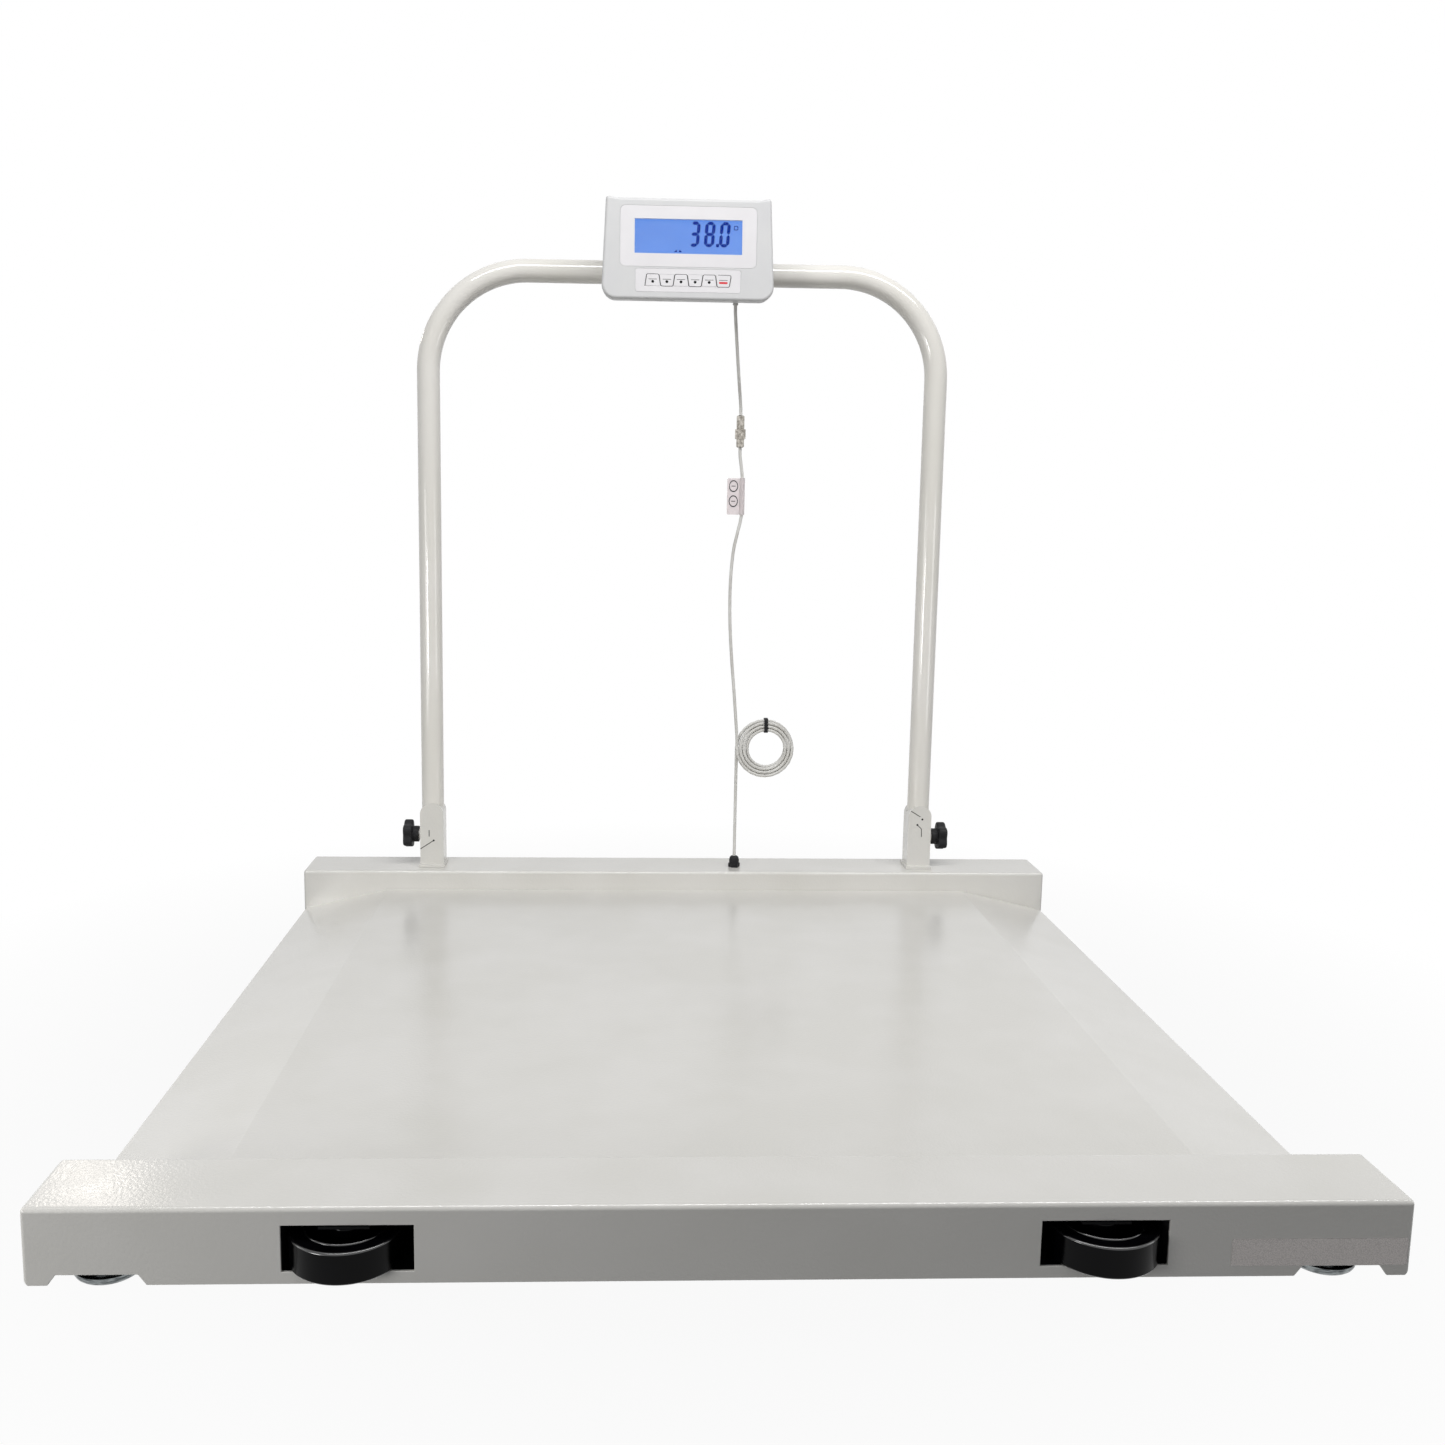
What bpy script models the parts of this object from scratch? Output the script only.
"""Low platform scale for wheelchairs, with a U-shaped handrail that carries the indicator.

Two raised rails run left to right, and a sheet deck with a ramp at each end lies between them.
Load cells in the rail ends stand on screw feet. Two wheels in the front rail carry the scale
when it is stood on that rail. The handrail drops into two sockets on the rear rail, each with
a clamp screw and a star knob, and a cable hangs from the indicator to the rear rail.

Frame: X right, Y away from the user, Z up. The origin is on the floor, under the middle of
the whole object, wheels included. All lengths are in metres.
"""

import math

import bmesh
import bpy
from mathutils import Vector

# Fits and facets
GAP = 0.0003
OVERSHOOT = 0.004
ROUND_SIDES = 24
SMALL_SIDES = 16
BEND_STEPS = 4

# Platform
RAIL_LENGTH = 1.200
RAIL_SPAN = 1.145
RAIL_WIDTH = 0.090
RAIL_TOP = 0.0844
RAIL_HEIGHT = 0.0697
RAIL_SHEET = 0.003
RAIL_BEND = 0.0045
RAIL_CORNER_CUT = 0.004

DECK_TOP = 0.054
DECK_SHEET = 0.003
RAMP_RUN = 0.1325
RAMP_EDGE_TOP = 0.022
RAMP_LIP_BOTTOM = 0.009
RAMP_END_INSET = 0.0015
RAMP_NOSE = 0.004
FOLD_RADIUS = 0.012

CROSS_TUBE_WIDTH = 0.040
CROSS_TUBE_HEIGHT = 0.030
CROSS_TUBE_WALL = 0.002
CROSS_TUBE_FROM_FOLD = 0.106

JUNCTION_SIZE = (0.120, 0.080, 0.024)
JUNCTION_WALL = 0.003
JUNCTION_FROM_REAR = 0.1537
JUNCTION_HOLE_RADIUS = 0.005

# Feet and load cells
FOOT_END_INSET = 0.055
FOOT_INSET = 0.050
PAD_FLOOR_RADIUS = 0.0240
PAD_CURVE_RADIUS = 0.0290
PAD_CURVE_HEIGHT = 0.0025
PAD_RADIUS = 0.0310
PAD_BULGE_HEIGHT = 0.0065
PAD_RIM_HEIGHT = 0.0085
PAD_CROWN_RADIUS = 0.0240
PAD_CROWN_HEIGHT = 0.0105
PAD_NECK_RADIUS = 0.0105
PAD_HEIGHT = 0.0125
PAD_SOCKET_FLOOR = 0.006
STUD_RADIUS = 0.006
STUD_TIP = 0.001
STUD_TOP = 0.066
HEX_ACROSS_CORNERS = 0.022
HEX_HEIGHT = 0.006

CELL_LENGTH = 0.130
CELL_WIDTH = 0.030
CELL_HEIGHT = 0.028
CELL_BOTTOM = 0.0425
CELL_END = 0.015
CELL_SEAT_LENGTH = 0.045
CELL_HOLE_RADIUS = 0.008
CELL_HOLE_SPACING = 0.024
CELL_HOLE_FROM_FOOT = 0.036

# Notches over the feet
NOTCH_FOOT_WIDTH = 0.083
NOTCH_TOP_WIDTH = 0.069
NOTCH_HEIGHT = 0.0095
NOTCH_SHIFT = 0.007

# Transport wheels
WHEEL_END_INSET = 0.2677
WHEEL_RADIUS = 0.050
WHEEL_WIDTH = 0.029
WHEEL_REACH = 0.023
WHEEL_MIDDLE = 0.0406
WHEEL_HUB_WIDTH = 0.032
WHEEL_HUB_RADIUS = 0.014
WHEEL_WEB_WIDTH = 0.012
WHEEL_WEB_OUTER = 0.0320
WHEEL_RIM_INNER = 0.0345
WHEEL_SHOULDER = 0.0470
WHEEL_CROWN_WIDTH = 0.015
WHEEL_SIDES = 32
WINDOW_SHIFT = 0.0056
WINDOW_WIDTH = 0.1125
WINDOW_BOTTOM = 0.0258
WINDOW_TOP = 0.0678

AXLE_RADIUS = 0.005
AXLE_HEAD_RADIUS = 0.008
AXLE_HEAD_HEIGHT = 0.004
YOKE_PLATE = 0.0025
FORK_WIDTH = 0.044
FORK_CLEARANCE = 0.0005
FORK_FRONT_REACH = 0.014

# Handrail
POST_END_INSET = 0.2015
TUBE_DIAMETER = 0.0355
TUBE_WALL = 0.002
TUBE_AXIS_HEIGHT = 1.028
TUBE_BEND_RADIUS = 0.155
TUBE_BEND_STEPS = 10

SOCKET_WALL = 0.0008
SOCKET_SHOULDER = 0.0886
SOCKET_CROWN_RISE = 0.0165
SOCKET_ARCH_STEPS = 10
FLANGE_WIDTH = 0.042
FLANGE_DEPTH = 0.048
FLANGE_THICKNESS = 0.004
BOSS_RADIUS = 0.0085
BOSS_HEIGHT = 0.0038

KNOB_HEIGHT = 0.0501
SCREW_RADIUS = 0.004
SCREW_INTO_KNOB = 0.014
KNOB_HUB_RADIUS = 0.0130
KNOB_HUB_LENGTH = 0.0095
KNOB_DISC_LENGTH = 0.0145
KNOB_RADIUS = 0.0235
KNOB_LOBE_DEPTH = 0.0045
KNOB_LOBES = 5
KNOB_SIDES = 40
KNOB_EDGE = 0.003

# Saddle and yoke that carry the indicator
SADDLE_WIDTH = 0.050
SADDLE_HEIGHT = 0.066
SADDLE_SPLIT = 0.003
SADDLE_BACK_WALL = 0.006
SADDLE_FRONT_WALL = 0.006
BOLT_RADIUS = 0.003
BOLT_HEAD_RADIUS = 0.005
BOLT_HEAD_HEIGHT = 0.003
BOLT_SPREAD = 0.053
ARM_HEIGHT = 0.014
WEB_HEIGHT = 0.038
PIVOT_TO_WEB = 0.0265
PIVOT_ABOVE_TUBE = 0.014
ARM_NOSE = 0.006
TILT_SCREW_RADIUS = 0.003
TILT_SCREW_DEPTH = 0.010
TILT_HEAD_RADIUS = 0.006
TILT_HEAD_HEIGHT = 0.004

# Indicator, measured from its tilt axis
INDICATOR_X = -0.001
INDICATOR_LEAN_DEG = 4
CASE_TOP_WIDTH = 0.2445
CASE_BOTTOM_WIDTH = 0.2575
CASE_HEIGHT = 0.1485
CASE_MIDDLE = 0.0028
CASE_TOP_CORNER = 0.0035
CASE_BOTTOM_CORNER = 0.021
CASE_WALL = 0.0025
CASE_FACE_WALL = 0.005
CASE_EDGE = 0.0045
CASE_PARTING_INSET = 0.0014
CASE_BACK_INSET = 0.0056
EAR_WIDTH = 0.005
EAR_SLOPE_WIDTH = 0.011
EAR_HEIGHT = 0.0020
FACE_FORWARD = 0.050
PARTING_FORWARD = 0.028
BACK_FORWARD = 0.010
BATTERY_WIDTH = 0.116
BATTERY_HEIGHT = 0.044
BATTERY_BACKWARD = 0.012
BATTERY_CAVITY_WIDTH = 0.080

OVERLAY_WIDTH = 0.2020
OVERLAY_HEIGHT = 0.0878
OVERLAY_MIDDLE = 0.0198
OVERLAY_CORNER = 0.008
OVERLAY_THICKNESS = 0.0008
GLASS_WIDTH = 0.1591
GLASS_HEIGHT = 0.0501
GLASS_MIDDLE = 0.0200
GLASS_THICKNESS = 0.0015
GLASS_BORDER = 0.004
DISPLAY_THICKNESS = 0.006

STRIP_WIDTH = 0.156
STRIP_HEIGHT = 0.0334
STRIP_MIDDLE = -0.0439
STRIP_CORNER = 0.004
KEY_COUNT = 6
KEY_PITCH = 0.0209
KEY_HEIGHT = 0.0180
KEY_MIDDLE = -0.0437
KEY_SLANT = 0.0026
KEY_CORNER = 0.0025
KEY_THICKNESS = 0.0020
KEY_PROUD = 0.0003
KEY_SEAM = 0.0008
KEY_POCKET_DEPTH = 0.0030
KEY_POCKET_MARGIN = 0.0012

GROMMET_X = 0.0735
GROMMET_FORWARD = 0.019
GROMMET_RADIUS = 0.0042
GROMMET_LENGTH = 0.0025
GROMMET_NECK_RADIUS = 0.0034
GROMMET_SEAT_DEPTH = 0.0014

# Cable, with the coil of slack that hangs tied in it
CABLE_DIAMETER = 0.005
CABLE_POINT_SPACING_DIAMETERS = 2.6
CABLE_BEVEL_STEPS = 2
COIL_BEVEL_STEPS = 1
COIL_X = 0.1410
COIL_HEIGHT = 0.2830
COIL_RADIUS = 0.0465
COIL_TURNS = 6
COIL_PITCH = 0.0057
COIL_POINTS_PER_TURN = 24
COIL_CLIMB_TURNS = 0.5
COIL_BEHIND_FRONT_EDGE = 0.034
TIE_LENGTH = 0.006
TIE_WALL = 0.001
TIE_CLEARANCE = 0.0010

GLAND_HEX_RADIUS = 0.0095
GLAND_HEX_HEIGHT = 0.006
GLAND_DOME_RADIUS = 0.008
GLAND_HEIGHT = 0.018
GLAND_MOUTH_RADIUS = 0.0045
GLAND_NECK_RADIUS = 0.006
GLAND_NECK_LENGTH = 0.010

CONNECTOR_TOP = 0.813
CONNECTOR_X = 0.0893
CONNECTOR_LENGTH = 0.050
CONNECTOR_RADIUS = 0.0062
CONNECTOR_RING_RADIUS = 0.0083
CONNECTOR_RING_TOP = 0.021
CONNECTOR_RING_LENGTH = 0.016
CONNECTOR_END_RADIUS = 0.0042
CONNECTOR_CHAMFER = 0.0015

TAG_TOP = 0.716
TAG_LENGTH = 0.0575
TAG_WIDTH = 0.0200
TAG_THICKNESS = 0.0006
TAG_SLEEVE_RADIUS = 0.0042
TAG_SLEEVE_BORE = 0.0031
TAG_X = 0.0940

# X and height of the free cable's points, from the tag's sleeve down to the coil
CABLE_HANG = [
    (0.0880, 0.6300),
    (0.0820, 0.6000),
    (0.0785, 0.5500),
    (0.0790, 0.4900),
    (0.0830, 0.4300),
    (0.0885, 0.3700),
]

# Places worked out from the sizes above
OBJECT_DEPTH = RAIL_SPAN + WHEEL_REACH
FRONT_Y = WHEEL_REACH - OBJECT_DEPTH / 2
REAR_Y = FRONT_Y + RAIL_SPAN
RAIL_BOTTOM = RAIL_TOP - RAIL_HEIGHT
RAIL_INNER_TOP = RAIL_TOP - RAIL_SHEET
DECK_FRONT = FRONT_Y + RAIL_WIDTH + GAP
DECK_REAR = REAR_Y - RAIL_WIDTH - GAP
POST_Y = REAR_Y - RAIL_WIDTH / 2
POST_X = RAIL_LENGTH / 2 - POST_END_INSET
FOOT_X = RAIL_LENGTH / 2 - FOOT_END_INSET
WHEEL_X = RAIL_LENGTH / 2 - WHEEL_END_INSET
DECK_END = RAIL_LENGTH / 2 - RAMP_END_INSET
DECK_FOLD = DECK_END - RAMP_RUN
CROSS_TUBE_X = DECK_FOLD - CROSS_TUBE_FROM_FOLD
CABLE_Y = REAR_Y - RAIL_WIDTH + COIL_BEHIND_FRONT_EDGE
TUBE_RADIUS = TUBE_DIAMETER / 2
SOCKET_BORE = TUBE_RADIUS + GAP
SOCKET_HALF = SOCKET_BORE + SOCKET_WALL
SADDLE_FRONT = POST_Y - TUBE_RADIUS - SADDLE_FRONT_WALL
PIVOT_Y = SADDLE_FRONT - GAP - YOKE_PLATE - PIVOT_TO_WEB
PIVOT = (INDICATOR_X, PIVOT_Y, TUBE_AXIS_HEIGHT + PIVOT_ABOVE_TUBE)
LEAN = -math.radians(INDICATOR_LEAN_DEG)

MATERIALS = {
    "white_coat": ((0.74, 0.73, 0.69), 0.42, 0.0),
    "tube_coat": ((0.76, 0.74, 0.68), 0.36, 0.0),
    "zinc": ((0.62, 0.63, 0.64), 0.32, 1.0),
    "cell_alloy": ((0.72, 0.73, 0.74), 0.35, 1.0),
    "black_wheel": ((0.012, 0.012, 0.014), 0.18, 0.0),
    "black_nylon": ((0.018, 0.018, 0.018), 0.55, 0.0),
    "grey_case": ((0.72, 0.72, 0.72), 0.45, 0.0),
    "white_film": ((0.84, 0.83, 0.84), 0.38, 0.0),
    "clear_glass": ((0.60, 0.68, 0.82), 0.08, 0.0),
    "blue_display": ((0.17, 0.30, 0.83), 0.30, 0.0),
    "cable_grey": ((0.58, 0.57, 0.54), 0.50, 0.0),
    "nickel": ((0.66, 0.62, 0.56), 0.25, 1.0),
    "clear_film": ((0.80, 0.78, 0.79), 0.20, 0.0),
    "black_tie": ((0.02, 0.02, 0.02), 0.50, 0.0),
}


def clear_scene():
    for thing in list(bpy.data.objects):
        bpy.data.objects.remove(thing, do_unlink=True)


def get_material(name):
    found = bpy.data.materials.get(name)
    if found:
        return found
    colour, roughness, metallic = MATERIALS[name]
    made = bpy.data.materials.new(name)
    made.use_nodes = True
    shader = made.node_tree.nodes["Principled BSDF"]
    shader.inputs["Base Color"].default_value = (*colour, 1)
    shader.inputs["Roughness"].default_value = roughness
    shader.inputs["Metallic"].default_value = metallic
    return made


def add_object(name, mesh, material, location=(0, 0, 0), parent=None, rotation=(0, 0, 0)):
    """Links a named object for a mesh or a curve, with its material, under an optional parent."""
    made = bpy.data.objects.new(name, mesh)
    bpy.context.scene.collection.objects.link(made)
    mesh.materials.append(get_material(material))
    made.location = location
    made.rotation_euler = rotation
    made.parent = parent
    if made.type == "MESH":
        mesh.shade_smooth()
        mesh.set_sharp_from_angle(angle=math.radians(35))
    return made


def add_empty(name, location, rotation=(0, 0, 0)):
    made = bpy.data.objects.new(name, None)
    bpy.context.scene.collection.objects.link(made)
    made.location = location
    made.rotation_euler = rotation
    return made


def add_tool(target, mesh, operation="DIFFERENCE"):
    """A hidden helper in the target's own frame that is cut from it or joined to it."""
    helper = bpy.data.objects.new(f"{target.name}_{operation.lower()}", mesh)
    bpy.context.scene.collection.objects.link(helper)
    helper.location = target.location
    helper.rotation_euler = target.rotation_euler
    helper.parent = target.parent
    helper.hide_render = True
    helper.display_type = "WIRE"
    step = target.modifiers.new(operation.title(), "BOOLEAN")
    step.operation = operation
    step.solver = "EXACT"
    step.object = helper
    return helper


def finish_mesh(name, grid):
    bmesh.ops.recalc_face_normals(grid, faces=grid.faces)
    mesh = bpy.data.meshes.new(name)
    grid.to_mesh(mesh)
    grid.free()
    return mesh


def box(name, low, high):
    grid = bmesh.new()
    corners = [(x, y, z) for x in (low[0], high[0]) for y in (low[1], high[1]) for z in (low[2], high[2])]
    points = [grid.verts.new(corner) for corner in corners]
    for face in ((0, 1, 3, 2), (4, 6, 7, 5), (0, 4, 5, 1), (2, 3, 7, 6), (0, 2, 6, 4), (1, 5, 7, 3)):
        grid.faces.new([points[index] for index in face])
    return finish_mesh(name, grid)


def place(axis, along, across, up):
    """A point from its distance along an axis and its two coordinates in the plane across it."""
    if axis == "X":
        return (along, across, up)
    if axis == "Y":
        return (across, along, up)
    return (across, up, along)


def prism(name, outline, axis, start, end):
    """The outline, in the plane across the axis, extruded from start to end along the axis."""
    grid = bmesh.new()
    first = [grid.verts.new(place(axis, start, a, b)) for a, b in outline]
    last = [grid.verts.new(place(axis, end, a, b)) for a, b in outline]
    grid.faces.new(first)
    grid.faces.new(last)
    for index in range(len(outline)):
        after = (index + 1) % len(outline)
        grid.faces.new([first[index], first[after], last[after], last[index]])
    return finish_mesh(name, grid)


def loft(name, rings, closed=False):
    """Joins rings of points into a skin. A closed loft meets its own first ring, else it has caps."""
    grid = bmesh.new()
    rows = [[grid.verts.new(point) for point in ring] for ring in rings]
    pairs = list(zip(rows, rows[1:]))
    if closed:
        pairs.append((rows[-1], rows[0]))
    for lower, upper in pairs:
        for index in range(len(lower)):
            after = (index + 1) % len(lower)
            grid.faces.new([lower[index], lower[after], upper[after], upper[index]])
    if not closed:
        grid.faces.new(rows[0])
        grid.faces.new(rows[-1])
    return finish_mesh(name, grid)


def turned(name, profile, axis="Z", sides=ROUND_SIDES, closed=False, centre=(0, 0), lobed=None):
    """A profile of (radius, distance along the axis) turned about the axis.

    An open profile is capped at both ends. lobed maps (radius, angle) to a wavy radius.
    """
    rings = []
    for radius, along in profile:
        ring = []
        for index in range(sides):
            angle = math.tau * index / sides
            reach = lobed(radius, angle) if lobed else radius
            across = centre[0] + reach * math.cos(angle)
            up = centre[1] + reach * math.sin(angle)
            ring.append(place(axis, along, across, up))
        rings.append(ring)
    return loft(name, rings, closed)


def arc(centre, radius, start_deg, end_deg, steps):
    points = []
    for index in range(steps + 1):
        angle = math.radians(start_deg + (end_deg - start_deg) * index / steps)
        points.append((centre[0] + radius * math.cos(angle), centre[1] + radius * math.sin(angle)))
    return points


def rounded(corners, radii, steps=BEND_STEPS):
    """A closed outline with each corner rounded to its own radius. A radius of 0 stays sharp."""
    outline = []
    for index, corner in enumerate(corners):
        radius = radii[index]
        here = Vector(corner)
        before = (Vector(corners[index - 1]) - here).normalized()
        after = (Vector(corners[(index + 1) % len(corners)]) - here).normalized()
        if radius == 0:
            outline.append((here.x, here.y))
            continue
        half = before.angle(after) / 2
        reach = radius / math.tan(half)
        middle = here + (before + after).normalized() * (radius / math.sin(half))
        first = here + before * reach - middle
        last = here + after * reach - middle
        turn = first.angle_signed(last)
        for step in range(steps + 1):
            spoke = first.copy()
            angle = -turn * step / steps
            x = spoke.x * math.cos(angle) - spoke.y * math.sin(angle)
            y = spoke.x * math.sin(angle) + spoke.y * math.cos(angle)
            outline.append((middle.x + x, middle.y + y))
    return outline


def rectangle(width, height, middle=(0, 0), radius=0):
    left, right = middle[0] - width / 2, middle[0] + width / 2
    low, high = middle[1] - height / 2, middle[1] + height / 2
    return rounded([(left, low), (right, low), (right, high), (left, high)], [radius] * 4)


def smooth_route(points, spacing):
    """Points at an even spacing on a smooth curve through the route's own points."""
    knots = [Vector(point) for point in points]
    knots = [knots[0] * 2 - knots[1]] + knots + [knots[-1] * 2 - knots[-2]]
    fine = []
    parts = 24
    for index in range(1, len(knots) - 2):
        before, here, after, beyond = knots[index - 1 : index + 3]
        for part in range(parts):
            t = part / parts
            pull = (after - before) * t + (before * 2 - here * 5 + after * 4 - beyond) * t * t
            curl = (here * 3 - before - after * 3 + beyond) * t**3
            fine.append((here * 2 + pull + curl) / 2)
    fine.append(knots[-2])
    lengths = [0]
    for first, second in zip(fine, fine[1:]):
        lengths.append(lengths[-1] + (second - first).length)
    count = max(2, round(lengths[-1] / spacing))
    route = []
    cursor = 0
    for index in range(count + 1):
        goal = lengths[-1] * index / count
        while cursor < len(lengths) - 2 and lengths[cursor + 1] < goal:
            cursor += 1
        share = (goal - lengths[cursor]) / (lengths[cursor + 1] - lengths[cursor])
        route.append(fine[cursor].lerp(fine[cursor + 1], share))
    return route


def route_length(route):
    return sum((second - first).length for first, second in zip(route, route[1:]))


def least_gap(route, diameter):
    """The least space between two stretches of one tube that aren't next to each other."""
    steps = [0]
    for first, second in zip(route, route[1:]):
        steps.append(steps[-1] + (second - first).length)
    least = math.inf
    for index, point in enumerate(route):
        for other in range(index + 1, len(route) - 1):
            if steps[other] - steps[index] < math.pi * diameter:
                continue
            start, span = route[other], route[other + 1] - route[other]
            share = max(0, min(1, (point - start).dot(span) / span.length_squared))
            least = min(least, (point - start - span * share).length - diameter)
    return least


def add_cable(name, route, sides_step):
    curve = bpy.data.curves.new(name, "CURVE")
    curve.dimensions = "3D"
    curve.bevel_depth = CABLE_DIAMETER / 2
    curve.bevel_resolution = sides_step
    curve.use_fill_caps = True
    spline = curve.splines.new("POLY")
    spline.points.add(len(route) - 1)
    for point, place_on in zip(spline.points, route):
        point.co = (*place_on, 1)
    return add_object(name, curve, "cable_grey")


def rail_outline(y_low, y_high, inset):
    """The rail's bent sheet across its length: two flanges and a top with rounded bends."""
    low, high = y_low + inset, y_high - inset
    bottom = RAIL_BOTTOM - (OVERSHOOT if inset else 0)
    top = RAIL_TOP - inset
    bend = RAIL_BEND - inset
    return rounded([(low, bottom), (high, bottom), (high, top), (low, top)], [0, 0, bend, bend])


def notch_outline(side):
    """The sloped cut in a flange's lower edge over a foot."""
    middle = side * (FOOT_X - NOTCH_SHIFT)
    low = RAIL_BOTTOM - OVERSHOOT
    high = RAIL_BOTTOM + NOTCH_HEIGHT
    slope = (NOTCH_FOOT_WIDTH - NOTCH_TOP_WIDTH) / 2 / NOTCH_HEIGHT
    foot = NOTCH_FOOT_WIDTH / 2 + slope * OVERSHOOT
    top = NOTCH_TOP_WIDTH / 2
    return [(middle - foot, low), (middle + foot, low), (middle + top, high), (middle - top, high)]


def add_rail(name, y_low, outer_y):
    """One rail: a folded sheet closed at both ends and open below, with a notch over each foot."""
    y_high = y_low + RAIL_WIDTH
    half = RAIL_LENGTH / 2
    mesh = prism(name, rail_outline(y_low, y_high, 0), "X", -half, half)
    rail = add_object(name, mesh, "white_coat")
    inside = rail_outline(y_low, y_high, RAIL_SHEET)
    add_tool(rail, prism("rail_inside", inside, "X", RAIL_SHEET - half, half - RAIL_SHEET))
    inner_y = outer_y + math.copysign(RAIL_SHEET + OVERSHOOT, y_low + RAIL_WIDTH / 2 - outer_y)
    clear_y = outer_y - math.copysign(OVERSHOOT, y_low + RAIL_WIDTH / 2 - outer_y)
    for side in (-1, 1):
        add_tool(rail, prism("notch", notch_outline(side), "Y", clear_y, inner_y))
        end, low = side * half, RAIL_BOTTOM
        corner = [
            (end + side * OVERSHOOT, low - OVERSHOOT),
            (end + side * OVERSHOOT, low + RAIL_CORNER_CUT + OVERSHOOT),
            (end - side * (RAIL_CORNER_CUT + OVERSHOOT), low - OVERSHOOT),
        ]
        add_tool(rail, prism("corner", corner, "Y", y_low - OVERSHOOT, y_high + OVERSHOOT))
    return rail


def add_rails():
    front = add_rail("front_rail", FRONT_Y, FRONT_Y)
    for side in (-1, 1):
        middle = (side * (WHEEL_X - WINDOW_SHIFT), (WINDOW_BOTTOM + WINDOW_TOP) / 2)
        window = rectangle(WINDOW_WIDTH, WINDOW_TOP - WINDOW_BOTTOM, middle)
        depth = FRONT_Y + RAIL_SHEET + OVERSHOOT
        add_tool(front, prism("window", window, "Y", FRONT_Y - OVERSHOOT, depth))
    rear = add_rail("rear_rail", REAR_Y - RAIL_WIDTH, REAR_Y)
    bore = GLAND_NECK_RADIUS + GAP
    hole = [(bore, RAIL_INNER_TOP - OVERSHOOT), (bore, RAIL_TOP + OVERSHOOT)]
    centre = (COIL_X - COIL_RADIUS, CABLE_Y)
    add_tool(rear, turned("gland_hole", hole, sides=SMALL_SIDES, centre=centre))


def add_deck():
    """The deck's one bent sheet: lip, ramp, flat, ramp, lip."""
    end, fold, sheet = DECK_END, DECK_FOLD, DECK_SHEET
    slope = math.atan2(DECK_TOP - RAMP_EDGE_TOP, end - fold)
    under = sheet / math.cos(slope)
    tuck = sheet * math.tan(slope / 2)
    inner_end = end - sheet
    inner_edge = RAMP_EDGE_TOP - under + (end - inner_end) * math.tan(slope)
    corners = [
        (-end, RAMP_LIP_BOTTOM),
        (-inner_end, RAMP_LIP_BOTTOM),
        (-inner_end, inner_edge),
        (-fold + tuck, DECK_TOP - sheet),
        (fold - tuck, DECK_TOP - sheet),
        (inner_end, inner_edge),
        (inner_end, RAMP_LIP_BOTTOM),
        (end, RAMP_LIP_BOTTOM),
        (end, RAMP_EDGE_TOP),
        (fold, DECK_TOP),
        (-fold, DECK_TOP),
        (-end, RAMP_EDGE_TOP),
    ]
    nose = RAMP_NOSE
    inner_nose = RAMP_NOSE - DECK_SHEET
    bend = FOLD_RADIUS
    inner_bend = FOLD_RADIUS - DECK_SHEET
    radii = [0, 0, inner_nose, inner_bend, inner_bend, inner_nose, 0, 0, nose, bend, bend, nose]
    mesh = prism("deck", rounded(corners, radii), "Y", DECK_FRONT, DECK_REAR)
    add_object("deck_plate", mesh, "white_coat")


def add_cross_tubes():
    for name, step in (("left", -1), ("middle", 0), ("right", 1)):
        middle = (0, DECK_TOP - DECK_SHEET - GAP - CROSS_TUBE_HEIGHT / 2)
        outer = rectangle(CROSS_TUBE_WIDTH, CROSS_TUBE_HEIGHT, middle)
        wall = CROSS_TUBE_WALL * 2
        inner = rectangle(CROSS_TUBE_WIDTH - wall, CROSS_TUBE_HEIGHT - wall, middle)
        rings = [
            [place("Y", DECK_FRONT, a, b) for a, b in outer],
            [place("Y", DECK_REAR, a, b) for a, b in outer],
            [place("Y", DECK_REAR, a, b) for a, b in inner],
            [place("Y", DECK_FRONT, a, b) for a, b in inner],
        ]
        mesh = loft("cross_tube", rings, closed=True)
        add_object(f"cross_tube_{name}", mesh, "white_coat", (step * CROSS_TUBE_X, 0, 0))


def add_junction_box():
    """The box under the deck where the load cells' leads meet. Its cavity opens at the lead hole."""
    width, depth, height = JUNCTION_SIZE
    top = DECK_TOP - DECK_SHEET - GAP
    low = (-width / 2, -depth / 2, top - height)
    high = (width / 2, depth / 2, top)
    place_on = (CROSS_TUBE_X / 2, DECK_REAR - JUNCTION_FROM_REAR, 0)
    shell = add_object("junction_box", box("junction", low, high), "zinc", place_on)
    inner_low = [value + JUNCTION_WALL for value in low]
    inner_high = [value - JUNCTION_WALL for value in high]
    add_tool(shell, box("junction_inside", inner_low, inner_high))
    middle = (0, top - height / 2)
    radius = JUNCTION_HOLE_RADIUS
    hole = [(radius, inner_high[1] - OVERSHOOT), (radius, high[1] + OVERSHOOT)]
    add_tool(shell, turned("lead_hole", hole, axis="Y", sides=SMALL_SIDES, centre=middle))


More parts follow.
